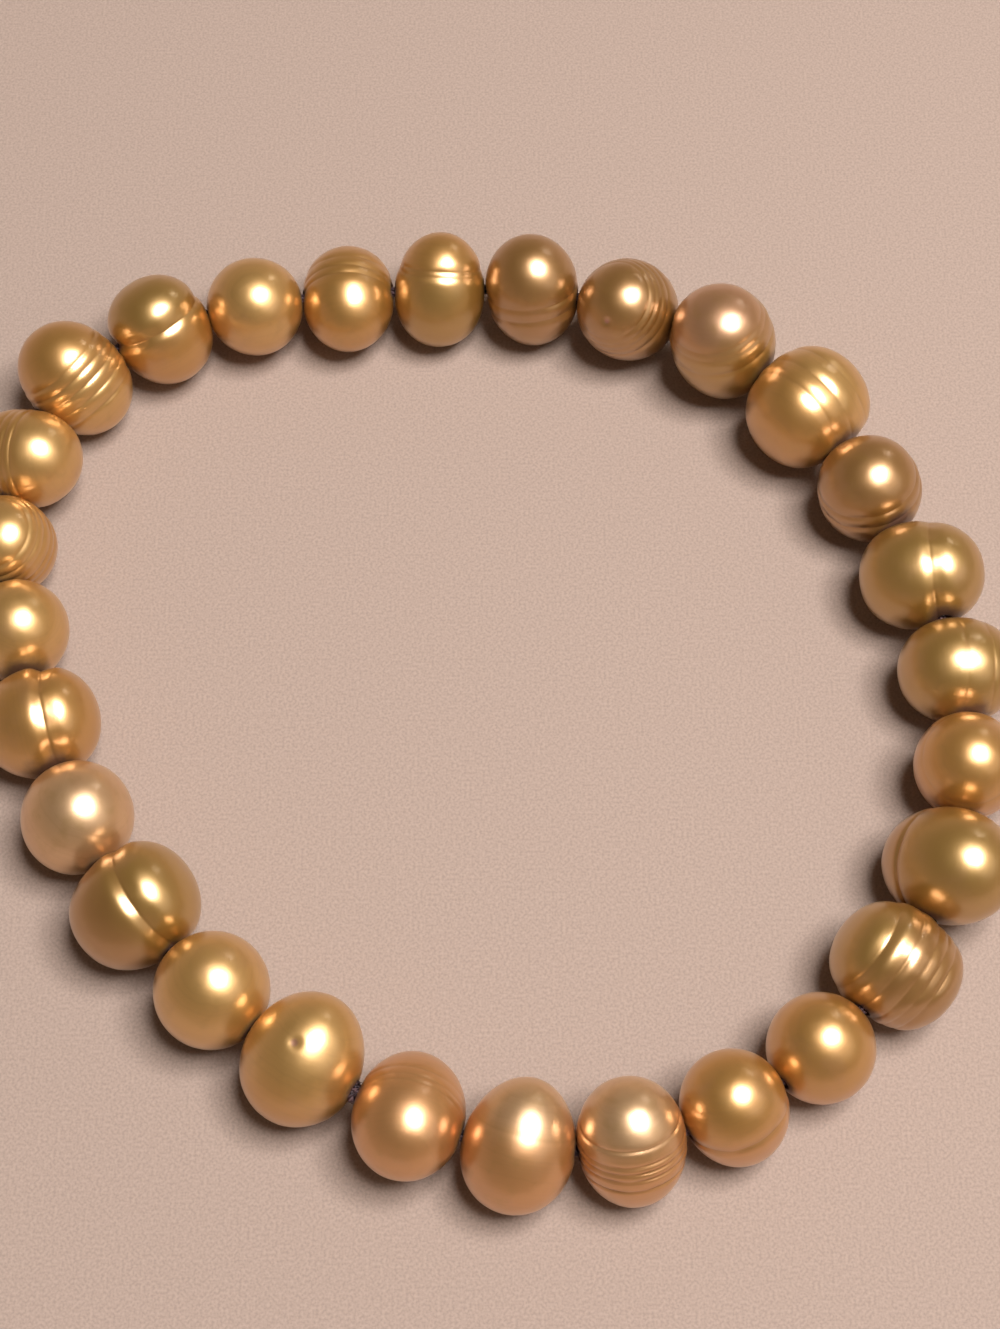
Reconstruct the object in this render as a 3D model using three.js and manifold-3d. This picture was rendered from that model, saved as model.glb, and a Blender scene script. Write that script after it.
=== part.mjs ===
// Stretch bracelet of twenty-eight ringed freshwater pearls, lying flat as a closed loop.
// Millimetres, +Z up. The loop rests on z = 0, with its middle over the origin.

import * as THREE from 'three';
import { mergeVertices } from 'three/addons/utils/BufferGeometryUtils.js';
import Module from 'manifold-3d';

// Driving dimensions
const PEARL_WIDTH = 6.7; // mean width of a pearl along the cord
const PEARL_GAP = 0.12; // space between neighbouring pearls at their nearest
const CORD_DIAMETER = 0.7;
const BORE_CLEARANCE = 0.25; // between the cord and the wall of a bore, all round
const KNOT_DIAMETER = 1.7;
const KNOT_LENGTH = 0.3; // along the cord
const KNOT_CLEARANCE = 0.05; // at the thick of the knot, on each side; the round pearls add to it

// Ring grooves, as shares of a pearl's half length
const RING_HALF_WIDTH = 0.045;
const RING_SPACE = 0.075; // least distance from a ring to the next plain band

// Fineness of the round pieces
const PEARL_SIDES = 14;
const PEARL_BANDS = 9;
const BORE_SIDES = 8;
const CORD_SIDES = 8;
const CORD_STEPS_PER_PEARL = 3;
const CORD_STOPS = [0.2, 0.8]; // shares of a bore that the cord's path is laid through
const KNOT_SIDES = 12;
const KNOT_BANDS = 6;

const BORE_DIAMETER = CORD_DIAMETER + 2 * BORE_CLEARANCE;
const KNOT_GAP = KNOT_LENGTH + 2 * KNOT_CLEARANCE;
const KNOT_AFTER = 2; // the knot sits between this pearl and the next

const NACRE = { roughness: 0.28, metalness: 0.45 };
const ELASTIC = { color: '#3a2630', roughness: 0.7, metalness: 0 };
const TONES = {
  peach: '#c98a4e',
  amber: '#bf7f3a',
  gold: '#b9863f',
  olive: '#a98845',
  bronze: '#a97a45',
  champagne: '#cba077',
};

// Plan of the loop: the places that the middle of the string runs through, pearl 1 first, then
// clockwise from above.
const ROUTE = [
  [2.4, -29.5],
  [-11.5, -23.5],
  [-22, -13],
  [-28, 0],
  [-30, 14],
  [-25.5, 22.5],
  [-17.5, 26.5],
  [-8.5, 28],
  [5, 28],
  [17.5, 23],
  [26, 11.5],
  [30, -2.5],
  [26.5, -16],
  [14.5, -27.5],
];

// One row for each pearl. Shares: wide is of PEARL_WIDTH, long is length over width, taper is
// how much wider the head end is, rings are heights of grooves from -1 at the tail to 1 at the
// head, cut is their depth over the half width. Degrees: spin turns the head about the cord
// from outward, through up, and skew leans it along the cord. Full is 2 for an ellipse and
// more for a barrel. Flat is one worn side: [height share, degrees round, depth share].
const PEARLS = [
  { wide: 0.98, long: 1.22, taper: -0.07, full: 2, spin: 150, skew: -8,
    rings: [0.35], cut: 0.015, tone: 'peach' },
  { wide: 0.97, long: 1.22, taper: 0.03, full: 2.1, spin: 30, skew: -10,
    rings: [-0.18, 0.02], cut: 0.03, tone: 'amber' },
  { wide: 1.05, long: 1.17, taper: -0.05, full: 2, spin: 145, skew: 0,
    rings: [], cut: 0, tone: 'gold' },
  { wide: 1.03, long: 1.07, taper: 0, full: 2, spin: 100, skew: 0,
    rings: [], cut: 0, tone: 'gold' },
  { wide: 1.1, long: 1.05, taper: 0.04, full: 2.2, spin: 160, skew: -8,
    rings: [0.2, 0.7], cut: 0.05, flat: [-0.3, 200, 0.06], tone: 'bronze' },
  { wide: 1.02, long: 1.06, taper: 0, full: 2, spin: 115, skew: 0,
    rings: [], cut: 0, tone: 'champagne' },
  { wide: 1.04, long: 1.06, taper: 0.05, full: 2.1, spin: 177, skew: -8,
    rings: [0], cut: 0.08, tone: 'gold' },
  { wide: 0.96, long: 1.07, taper: 0, full: 2, spin: 105, skew: 0,
    rings: [], cut: 0, tone: 'gold' },
  { wide: 0.93, long: 1.08, taper: 0, full: 2.1, spin: 75, skew: -5,
    rings: [0.42, 0.25, 0.03, -0.16], cut: 0.035, tone: 'gold' },
  { wide: 0.98, long: 1.25, taper: 0.04, full: 2.1, spin: 160, skew: 5,
    rings: [0.28, 0.14, 0], cut: 0.03, tone: 'gold' },
  { wide: 1, long: 1.22, taper: 0, full: 2.1, spin: 45, skew: -5,
    rings: [0.39, 0.22, 0.04, -0.17, -0.41], cut: 0.035, tone: 'olive' },
  { wide: 0.98, long: 1.13, taper: 0.05, full: 2.2, spin: 50, skew: -10,
    rings: [0.24], cut: 0.07, tone: 'bronze' },
  { wide: 0.97, long: 1.05, taper: 0, full: 2, spin: 105, skew: 0,
    rings: [], cut: 0, tone: 'peach' },
  { wide: 0.93, long: 1.2, taper: -0.03, full: 2.1, spin: 175, skew: -5,
    rings: [-0.35, -0.13, 0.04], cut: 0.035, tone: 'olive' },
  { wide: 0.91, long: 1.27, taper: -0.03, full: 2.1, spin: 45, skew: 5,
    rings: [0.42, 0.3], cut: 0.02, tone: 'olive' },
  { wide: 0.94, long: 1.22, taper: 0.03, full: 2.1, spin: 65, skew: -10,
    rings: [0.06, -0.2], cut: 0.03, tone: 'bronze' },
  { wide: 1.01, long: 1.12, taper: 0, full: 2, spin: 115, skew: -20,
    rings: [0.45, 0.25], cut: 0.015, tone: 'gold' },
  { wide: 1.04, long: 1.18, taper: 0.04, full: 2.1, spin: 90, skew: -20,
    rings: [0.5, 0.14], cut: 0.03, tone: 'peach' },
  { wide: 1.13, long: 1.06, taper: -0.03, full: 2.3, spin: 180, skew: 5,
    rings: [0.27, -0.05, -0.42], cut: 0.03, flat: [0, 150, 0.06], tone: 'gold' },
  { wide: 1, long: 1.06, taper: 0, full: 2.1, spin: 100, skew: -15,
    rings: [0.29, 0.02], cut: 0.03, tone: 'olive' },
  { wide: 1.03, long: 1.14, taper: -0.03, full: 2.2, spin: 15, skew: 20,
    rings: [0.04], cut: 0.06, tone: 'gold' },
  { wide: 1, long: 1.12, taper: 0, full: 2.1, spin: 175, skew: -5,
    rings: [0.08, -0.38], cut: 0.03, tone: 'gold' },
  { wide: 0.98, long: 1.12, taper: 0, full: 2, spin: 95, skew: 10,
    rings: [0.5], cut: 0.015, tone: 'amber' },
  { wide: 1.06, long: 1.2, taper: 0, full: 2.1, spin: 45, skew: 5,
    rings: [-0.27], cut: 0.04, tone: 'olive' },
  { wide: 1.07, long: 1.07, taper: 0, full: 2.3, spin: 160, skew: 5,
    rings: [0.55, 0.18, -0.12, -0.31, -0.51], cut: 0.045, tone: 'bronze' },
  { wide: 0.96, long: 1.06, taper: 0, full: 2, spin: 100, skew: 0,
    rings: [], cut: 0, tone: 'gold' },
  { wide: 0.93, long: 1.17, taper: 0.05, full: 2.1, spin: 120, skew: 5,
    rings: [0], cut: 0.05, tone: 'amber' },
  { wide: 0.95, long: 1.25, taper: 0.03, full: 2.1, spin: 125, skew: 0,
    rings: [0.45, 0.2, -0.05, -0.26], cut: 0.035, tone: 'champagne' },
];

const FLAT_REACH = 0.9; // how far a worn side spreads, over the half width

// Packing: the pearls start this much too far apart and then close in on their gaps
const START_SPREAD = 1.25;
const GAP_TOLERANCE = 0.002;
const ROUTE_DIVISIONS = 1000;

const MERGE_DISTANCE = 1e-4; // corners nearer than this are one corner

const wasm = await Module();
wasm.setup();

// Pearls

// Heights of the profile's corners, from the tail to the head.
function profileShares(row) {
  const shares = row.rings.flatMap((ring) => [ring - RING_HALF_WIDTH, ring, ring + RING_HALF_WIDTH]);
  for (let band = 0; band <= PEARL_BANDS; band += 1) {
    const share = -Math.cos((Math.PI * band) / PEARL_BANDS);
    const clear = row.rings.every((ring) => Math.abs(share - ring) > RING_SPACE);
    if (clear) shares.push(share);
  }
  return shares.sort((low, high) => low - high);
}

// Radius at a height, over the half width: a barrel or ellipse, tapered, less the grooves.
function profileRadius(row, share) {
  const round = Math.max(0, 1 - Math.abs(share) ** row.full) ** (1 / row.full);
  const groove = Math.max(0, ...row.rings.map((ring) => 1 - Math.abs(share - ring) / RING_HALF_WIDTH));
  return round * (1 + row.taper * share) - row.cut * groove;
}

// Presses one side of a pearl in, round the place that its row names.
function wearFlat(geometry, row, half) {
  const [height, degrees, depth] = row.flat;
  const turn = THREE.MathUtils.degToRad(degrees);
  const middle = new THREE.Vector3(Math.sin(turn), height * row.long, Math.cos(turn)).multiplyScalar(half);
  const corners = geometry.attributes.position;
  const corner = new THREE.Vector3();
  for (let n = 0; n < corners.count; n += 1) {
    corner.fromBufferAttribute(corners, n);
    const near = Math.max(0, 1 - corner.distanceTo(middle) / (FLAT_REACH * half));
    corner.multiplyScalar(1 - depth * near * (2 - near));
    corners.setXYZ(n, corner.x, corner.y, corner.z);
  }
}

// A pearl round its own centre: X along the cord, Y outward from the loop, Z up.
function pearlGeometry(row) {
  const half = (PEARL_WIDTH * row.wide) / 2;
  const profile = profileShares(row).map(
    (share) => new THREE.Vector2(profileRadius(row, share) * half, share * row.long * half),
  );
  const geometry = new THREE.LatheGeometry(profile, PEARL_SIDES);
  if (row.flat) wearFlat(geometry, row, half);
  const spin = THREE.MathUtils.degToRad(row.spin);
  const skew = THREE.MathUtils.degToRad(row.skew);
  const head = new THREE.Vector3(
    Math.sin(skew),
    Math.cos(skew) * Math.cos(spin),
    Math.cos(skew) * Math.sin(spin),
  );
  const cord = new THREE.Vector3(1, 0, 0);
  const side = new THREE.Vector3().crossVectors(cord, head).normalize();
  const along = new THREE.Vector3().crossVectors(side, head);
  return geometry.applyMatrix4(new THREE.Matrix4().makeBasis(side, head, along));
}

// Farthest that a turned pearl reaches in a direction, from its centre.
function reach(pearl, direction) {
  const local = direction.clone().applyAxisAngle(new THREE.Vector3(0, 0, 1), -pearl.heading);
  const corners = pearl.geometry.attributes.position;
  const corner = new THREE.Vector3();
  let farthest = 0;
  for (let n = 0; n < corners.count; n += 1) {
    farthest = Math.max(farthest, corner.fromBufferAttribute(corners, n).dot(local));
  }
  return farthest;
}

// Packing: the string closes on itself with each pearl a gap away from the next

const pearls = PEARLS.map((row) => {
  const geometry = pearlGeometry(row);
  geometry.computeBoundingBox();
  const rise = -geometry.boundingBox.min.z; // the pearl stands on z = 0
  return { row, geometry, rise, solid: toSolid(geometry), heading: 0, centre: new THREE.Vector3() };
});
const nextOf = (index) => pearls[(index + 1) % pearls.length];
const lastOf = (index) => pearls[(index + pearls.length - 1) % pearls.length];

const route = new THREE.CatmullRomCurve3(
  ROUTE.map(([x, y]) => new THREE.Vector3(x, y, 0)),
  true,
);
route.arcLengthDivisions = ROUTE_DIVISIONS;

// Puts the pearls on the route, which grows or shrinks to the length of all the steps.
function layOut(steps) {
  const total = steps.reduce((sum, step) => sum + step, 0);
  const growth = total / route.getLength();
  let walked = 0;
  pearls.forEach((pearl, index) => {
    pearl.centre.copy(route.getPointAt(walked / total)).multiplyScalar(growth).setZ(pearl.rise);
    walked += steps[index];
  });
  pearls.forEach((pearl, index) => {
    const before = lastOf(index).centre;
    const after = nextOf(index).centre;
    pearl.heading = Math.atan2(after.y - before.y, after.x - before.x);
  });
}

const wantedGap = (index) => (index + 1 === KNOT_AFTER ? KNOT_GAP : PEARL_GAP);

function placedSolid(pearl) {
  const degrees = THREE.MathUtils.radToDeg(pearl.heading);
  return pearl.solid.rotate([0, 0, degrees]).translate(pearl.centre.toArray());
}

// How much farther apart than now each pearl and the next one have to be.
function shortfalls() {
  const solids = pearls.map(placedSolid);
  return solids.map((solid, index) => {
    const next = solids[(index + 1) % solids.length];
    return wantedGap(index) - solid.minGap(next, PEARL_WIDTH);
  });
}

let steps = pearls.map(() => PEARL_WIDTH * START_SPREAD);
let lacking = steps;
while (lacking.some((lack) => Math.abs(lack) > GAP_TOLERANCE)) {
  layOut(steps);
  lacking = shortfalls();
  steps = steps.map((step, index) => step + lacking[index]);
}

const box = new THREE.Box3();
for (const { geometry, heading, centre } of pearls) {
  const turned = geometry.clone().rotateZ(heading).translate(...centre);
  box.union(new THREE.Box3().setFromBufferAttribute(turned.attributes.position));
}
const shift = box.getCenter(new THREE.Vector3()).setZ(0);
for (const pearl of pearls) pearl.centre.sub(shift);

// The cord runs level, so each bore lies a little above or below its pearl's centre.
const cordHeight = pearls.reduce((sum, pearl) => sum + pearl.rise, 0) / pearls.length;

// Solids

// A closed mesh as a manifold solid, with shared corners joined and flat triangles dropped.
function toSolid(geometry) {
  const bare = geometry.clone();
  bare.deleteAttribute('normal');
  bare.deleteAttribute('uv');
  const merged = mergeVertices(bare, MERGE_DISTANCE);
  const corners = Array.from(merged.index.array);
  const triangles = [];
  for (let n = 0; n < corners.length; n += 3) {
    const triangle = corners.slice(n, n + 3);
    if (new Set(triangle).size === 3) triangles.push(...triangle);
  }
  const mesh = new wasm.Mesh({
    numProp: 3,
    vertProperties: new Float32Array(merged.attributes.position.array),
    triVerts: new Uint32Array(triangles),
  });
  return new wasm.Manifold(mesh);
}

function toGeometry(solid) {
  const mesh = solid.getMesh();
  const geometry = new THREE.BufferGeometry();
  geometry.setAttribute('position', new THREE.BufferAttribute(mesh.vertProperties, 3));
  geometry.setIndex(new THREE.BufferAttribute(mesh.triVerts, 1));
  geometry.computeVertexNormals();
  return geometry;
}

// Where the cord leaves a pearl: ahead is 1 towards the next pearl and -1 towards the last.
function mouth(pearl, ahead) {
  const direction = new THREE.Vector3(Math.cos(pearl.heading), Math.sin(pearl.heading), 0);
  direction.multiplyScalar(ahead);
  return pearl.centre.clone().addScaledVector(direction, reach(pearl, direction)).setZ(cordHeight);
}

// Halfway between the mouths of each pearl and the next one.
const gapMiddles = pearls.map((pearl, index) => mouth(pearl, 1).lerp(mouth(nextOf(index), -1), 0.5));
const gapBefore = (index) => gapMiddles[(index + pearls.length - 1) % pearls.length];

// The bore is straight, from the gap before a pearl to the gap after it and past both.
function drill(pearl, index) {
  const start = gapBefore(index);
  const end = gapMiddles[index];
  const run = new THREE.Vector3().subVectors(end, start);
  const bore = new THREE.CylinderGeometry(BORE_DIAMETER / 2, BORE_DIAMETER / 2, 2 * run.length(), BORE_SIDES);
  bore.rotateZ(Math.atan2(run.y, run.x) - Math.PI / 2);
  bore.translate(...start.clone().lerp(end, 0.5).sub(pearl.centre)).rotateZ(-pearl.heading);
  return toGeometry(toSolid(pearl.geometry).subtract(toSolid(bore)));
}

// The cord follows the bores and bends in the gaps.
function cordGeometry() {
  const stops = pearls.flatMap((pearl, index) =>
    CORD_STOPS.map((share) => gapBefore(index).clone().lerp(gapMiddles[index], share)),
  );
  const path = new THREE.CatmullRomCurve3(stops, true);
  const count = CORD_STEPS_PER_PEARL * pearls.length;
  return new THREE.TubeGeometry(path, count, CORD_DIAMETER / 2, CORD_SIDES, true);
}

// The knot is a squeezed bun round the cord, between two pearls.
function knotGeometry() {
  const index = KNOT_AFTER - 1;
  const across = new THREE.Vector3().subVectors(nextOf(index).centre, pearls[index].centre);
  const knot = new THREE.SphereGeometry(KNOT_DIAMETER / 2, KNOT_SIDES, KNOT_BANDS);
  knot.scale(1, KNOT_LENGTH / KNOT_DIAMETER, 1);
  knot.rotateZ(Math.atan2(across.y, across.x) - Math.PI / 2);
  return knot.translate(...gapMiddles[index]);
}

// Assembly

const bracelet = new THREE.Group();
bracelet.name = 'pearl_bracelet';

pearls.forEach((pearl, index) => {
  const material = new THREE.MeshStandardMaterial({ color: TONES[pearl.row.tone], ...NACRE });
  const mesh = new THREE.Mesh(drill(pearl, index), material);
  mesh.name = `pearl_${String(index + 1).padStart(2, '0')}`;
  mesh.rotation.z = pearl.heading;
  mesh.position.copy(pearl.centre);
  bracelet.add(mesh);
});

const cordMaterial = new THREE.MeshStandardMaterial(ELASTIC);
const cord = new THREE.Mesh(toGeometry(toSolid(cordGeometry()).add(toSolid(knotGeometry()))), cordMaterial);
cord.name = 'elastic_cord';
bracelet.add(cord);

export default bracelet;
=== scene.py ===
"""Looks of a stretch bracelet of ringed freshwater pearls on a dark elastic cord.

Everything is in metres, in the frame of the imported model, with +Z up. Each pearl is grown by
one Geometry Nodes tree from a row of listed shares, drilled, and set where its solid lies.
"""

from __future__ import annotations

import logging
import math
from dataclasses import dataclass, field
from enum import Enum
from typing import Any, Sequence

import bpy
from mathutils import Matrix, Vector


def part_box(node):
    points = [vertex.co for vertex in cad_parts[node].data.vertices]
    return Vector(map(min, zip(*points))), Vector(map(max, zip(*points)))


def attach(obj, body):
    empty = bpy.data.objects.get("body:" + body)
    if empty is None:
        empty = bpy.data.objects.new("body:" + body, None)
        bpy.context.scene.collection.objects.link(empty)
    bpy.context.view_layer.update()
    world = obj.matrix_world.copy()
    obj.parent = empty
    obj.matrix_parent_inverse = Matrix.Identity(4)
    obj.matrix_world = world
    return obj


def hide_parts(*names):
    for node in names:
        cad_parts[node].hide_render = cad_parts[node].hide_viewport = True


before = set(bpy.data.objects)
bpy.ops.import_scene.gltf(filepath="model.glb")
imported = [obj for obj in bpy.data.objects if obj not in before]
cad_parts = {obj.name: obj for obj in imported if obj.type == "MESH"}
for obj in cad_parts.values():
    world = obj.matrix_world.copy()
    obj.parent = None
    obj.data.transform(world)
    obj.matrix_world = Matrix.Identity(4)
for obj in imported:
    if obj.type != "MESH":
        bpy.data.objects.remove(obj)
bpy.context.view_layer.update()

LOG = logging.getLogger("bracelet")
MM = 0.001
UP = Vector((0.0, 0.0, 1.0))
CURVE_STEPS = 12

Colour = tuple[float, float, float]


class Tone(Enum):
    """Body colours of the dyed nacre, as linear red, green and blue."""

    PEACH = (0.62, 0.29, 0.085)
    ORANGE = (0.58, 0.25, 0.055)
    GOLD = (0.57, 0.28, 0.05)
    PALE_GOLD = (0.65, 0.36, 0.09)
    OLIVE = (0.45, 0.245, 0.04)
    BRONZE = (0.40, 0.19, 0.035)
    CHAMPAGNE = (0.67, 0.40, 0.18)
    ROSE = (0.53, 0.265, 0.115)
    STAIN = (0.06, 0.014, 0.01)
    PIT = (0.45, 0.19, 0.12)


class Value:
    """A number socket that takes part in Python arithmetic, adding Math nodes as it does."""

    def __init__(self, tree: "NodeSheet", socket: bpy.types.NodeSocket) -> None:
        """Wraps a socket of a tree."""
        self.tree = tree
        self.socket = socket

    def math(self, operation: str, *others: Any) -> "Value":
        """Adds a Math node.

        Args:
            operation: the node's operation.
            others: its further inputs.

        Returns:
            The node's result.
        """
        node = self.tree.node("ShaderNodeMath", {"operation": operation}, dict(enumerate((self, *others))))
        return Value(self.tree, node.outputs[0])

    def _reflected(self, operation: str, first: float) -> "Value":
        """The operation with a plain number first."""
        node = self.tree.node("ShaderNodeMath", {"operation": operation}, {0: first, 1: self})
        return Value(self.tree, node.outputs[0])

    def __add__(self, other: Any) -> "Value":
        """Sum."""
        return self.math("ADD", other)

    __radd__ = __add__

    def __mul__(self, other: Any) -> "Value":
        """Product."""
        return self.math("MULTIPLY", other)

    def __sub__(self, other: Any) -> "Value":
        """Difference."""
        return self.math("SUBTRACT", other)

    def __rsub__(self, first: float) -> "Value":
        """Difference from a plain number."""
        return self._reflected("SUBTRACT", first)

    def __truediv__(self, other: Any) -> "Value":
        """Quotient."""
        return self.math("DIVIDE", other)

    def __rtruediv__(self, first: float) -> "Value":
        """A plain number over this one."""
        return self._reflected("DIVIDE", first)

    def __pow__(self, power: Any) -> "Value":
        """Power."""
        return self.math("POWER", power)

    def __abs__(self) -> "Value":
        """Size without sign."""
        return self.math("ABSOLUTE")

    def at_least(self, least: Any) -> "Value":
        """This value, or the least one if that is more."""
        return self.math("MAXIMUM", least)

    def fade(self, start: float, end: float) -> "Value":
        """A smooth step that is 0 at start and 1 at end.

        Args:
            start: where the step begins; it may be above end.
            end: where the step is done.

        Returns:
            The step.
        """
        low, high, flip = (start, end, False) if start < end else (end, start, True)
        settings = {"interpolation_type": "SMOOTHSTEP"}
        sockets = {"Value": self, "From Min": low, "From Max": high}
        node = self.tree.node("ShaderNodeMapRange", settings, sockets)
        step = Value(self.tree, node.outputs[0])
        return 1.0 - step if flip else step


class NodeSheet:
    """Adds nodes to a shader or geometry node tree."""

    def __init__(self, tree: bpy.types.NodeTree) -> None:
        """Starts from an emptied tree."""
        self.tree = tree
        tree.nodes.clear()

    def node(self, kind: str, settings: dict[str, Any] | None = None,
             sockets: dict[Any, Any] | None = None) -> bpy.types.Node:
        """Adds a node, sets it up and then fills its sockets.

        Args:
            kind: the node's type.
            settings: its properties.
            sockets: values or links, by socket name or number.

        Returns:
            The node.
        """
        made = self.tree.nodes.new(kind)
        for name, setting in (settings or {}).items():
            setattr(made, name, setting)
        for key, content in (sockets or {}).items():
            self.fill(made.inputs[key], content)
        return made

    def fill(self, socket: bpy.types.NodeSocket, content: Any) -> None:
        """Links a socket to another one, or sets its value."""
        if isinstance(content, Value):
            content = content.socket
        if isinstance(content, bpy.types.NodeSocket):
            self.tree.links.new(content, socket)
        elif socket.type == "RGBA" and len(content) == 3:
            socket.default_value = (*content, 1.0)
        else:
            socket.default_value = content

    def value(self, node: bpy.types.Node, output: Any = 0) -> Value:
        """One output of a node, as a number to reckon with."""
        return Value(self, node.outputs[output])

    def noise(self, vector: Any, scale: float, detail: float, seed: Any) -> Value:
        """Smooth random values, mostly between 0 and 1.

        Args:
            vector: where to look it up.
            scale: waves in a unit of length.
            detail: how many finer layers it has.
            seed: which pattern it is.

        Returns:
            The noise.
        """
        sockets = {"Vector": vector, "Scale": scale, "Detail": detail, "W": seed}
        return self.value(self.node("ShaderNodeTexNoise", {"noise_dimensions": "4D"}, sockets))

    def mix(self, factor: Any, first: Any, second: Any) -> bpy.types.NodeSocket:
        """Blends two colours; each may be a colour or a link."""
        mixer = self.node("ShaderNodeMix", {"data_type": "RGBA"}, {0: factor, 6: first, 7: second})
        return mixer.outputs[2]

    def vector(self, operation: str, sockets: dict[Any, Any], output: str = "Vector") -> bpy.types.NodeSocket:
        """Adds a Vector Math node.

        Args:
            operation: the node's operation.
            sockets: its inputs, by name or number.
            output: "Value" for an operation that gives a number.

        Returns:
            The node's result.
        """
        return self.node("ShaderNodeVectorMath", {"operation": operation}, sockets).outputs[output]


class Paint(NodeSheet):
    """A new material and its nodes."""

    def __init__(self, name: str) -> None:
        """Starts an empty material under a name."""
        self.material = bpy.data.materials.new(name)
        self.material.use_nodes = True
        super().__init__(self.material.node_tree)

    def stored(self, name: str) -> Value:
        """A number that the mesh carries."""
        return self.value(self.node("ShaderNodeAttribute", {"attribute_name": name}), "Fac")

    def finish(self, relief: Value, strength: float, distance: float,
               surface: dict[str, Any]) -> bpy.types.Material:
        """Ends the material with one Principled surface.

        Args:
            relief: the height of the surface's fine bumps.
            strength: how strongly they show.
            distance: how high they stand.
            surface: the Principled inputs by name.

        Returns:
            The material.
        """
        sockets = {"Strength": strength, "Distance": distance, "Height": relief}
        bump = self.node("ShaderNodeBump", sockets=sockets)
        shader = self.node("ShaderNodeBsdfPrincipled", sockets={**surface, "Normal": bump.outputs[0]})
        self.node("ShaderNodeOutputMaterial", sockets={"Surface": shader.outputs[0]})
        return self.material


class GeometryTree(NodeSheet):
    """A Geometry Nodes tree with named inputs."""

    def __init__(self, name: str) -> None:
        """Starts a tree that gives out one geometry."""
        group = bpy.data.node_groups.new(name, "GeometryNodeTree")
        super().__init__(group)
        group.interface.new_socket("Geometry", in_out="OUTPUT", socket_type="NodeSocketGeometry")
        self.identifiers: dict[str, str] = {}

    def inputs(self, names: dict[str, str]) -> dict[str, bpy.types.NodeSocket]:
        """Args:
            names: the kind of each input, by its name.

        Returns:
            The sockets that the inputs come in by.
        """
        for name, kind in names.items():
            socket = self.tree.interface.new_socket(name, in_out="INPUT", socket_type=f"NodeSocket{kind}")
            self.identifiers[name] = socket.identifier
        entry = self.node("NodeGroupInput")
        return {name: entry.outputs[name] for name in names}

    def finish(self, geometry: bpy.types.NodeSocket, material: bpy.types.NodeSocket) -> None:
        """Ends the tree with real meshes and their material."""
        real = self.node("GeometryNodeRealizeInstances", sockets={"Geometry": geometry})
        painted = self.node("GeometryNodeSetMaterial", sockets={0: real.outputs[0], "Material": material})
        self.node("NodeGroupOutput", sockets={0: painted.outputs[0]})

    def grow(self, name: str, data: bpy.types.ID, values: dict[str, Any]) -> bpy.types.Object:
        """Runs the tree on an object and keeps the result as a plain mesh.

        Args:
            name: the new piece's name.
            data: the mesh or curve that the tree starts from.
            values: the inputs by name.

        Returns:
            A mesh object at the origin.
        """
        seed = bpy.data.objects.new(f"{name}_seed", data)
        bpy.context.scene.collection.objects.link(seed)
        modifier = seed.modifiers.new(self.tree.name, "NODES")
        modifier.node_group = self.tree
        for key, content in values.items():
            modifier[self.identifiers[key]] = content
        graph = bpy.context.evaluated_depsgraph_get()
        mesh = bpy.data.meshes.new_from_object(seed.evaluated_get(graph), depsgraph=graph)
        seed.modifiers.remove(modifier)
        bpy.data.objects.remove(seed)
        mesh.name = name
        piece = bpy.data.objects.new(name, mesh)
        bpy.context.scene.collection.objects.link(piece)
        return piece


@dataclass(frozen=True)
class Mark:
    """A worn flat or a pit on a pearl, in shares of its half width.

    Attributes:
        height: along the ring axis, towards the head.
        round: degrees round the ring axis.
        reach: how far it spreads.
        depth: how deep it is.
        shade: how much darker it is.
    """

    height: float = 0.0
    round: float = 0.0
    reach: float = 0.5
    depth: float = 0.0
    shade: float = 0.0

    def place(self, long: float) -> Vector:
        """Its middle on the unit pearl."""
        turn = math.radians(self.round)
        out = math.sqrt(max(0.0, 1.0 - self.height**2))
        return Vector((math.sin(turn) * out, -math.cos(turn) * out, self.height * long))


@dataclass(frozen=True)
class PearlRow:
    """What one pearl looks like, as the solid's own row gives it, with its colours.

    Attributes:
        wide: width along the cord over the mean width.
        long: length along the ring axis over the width.
        taper: how much wider the head end is.
        full: 2 for an ellipse, more for a barrel.
        spin: degrees that the head turns about the cord, from outward through up.
        skew: degrees that the head leans along the cord.
        rings: heights of the grooves, from -1 at the tail to 1 at the head.
        cut: depth of the grooves over the half width.
        head: colour at the head; partly painted sheen on pearls whose head points up.
        tail: colour at the tail; partly a painted floor reflection on pearls whose peach tail points down.
        turn: height where the one colour gives way to the other.
        mark: its worn flat or pit.
        spread: how wide the grooves are, over the plain width.
        stain: how far the drill stain spreads, over the half width.
    """

    wide: float
    long: float
    taper: float
    full: float
    spin: float
    skew: float
    rings: tuple[float, ...]
    cut: float
    head: Tone
    tail: Tone
    turn: float = 0.0
    mark: Mark = field(default_factory=Mark)
    spread: float = 1.0
    stain: float = 0.36


MEAN_WIDTH = 6.7 * MM

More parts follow.
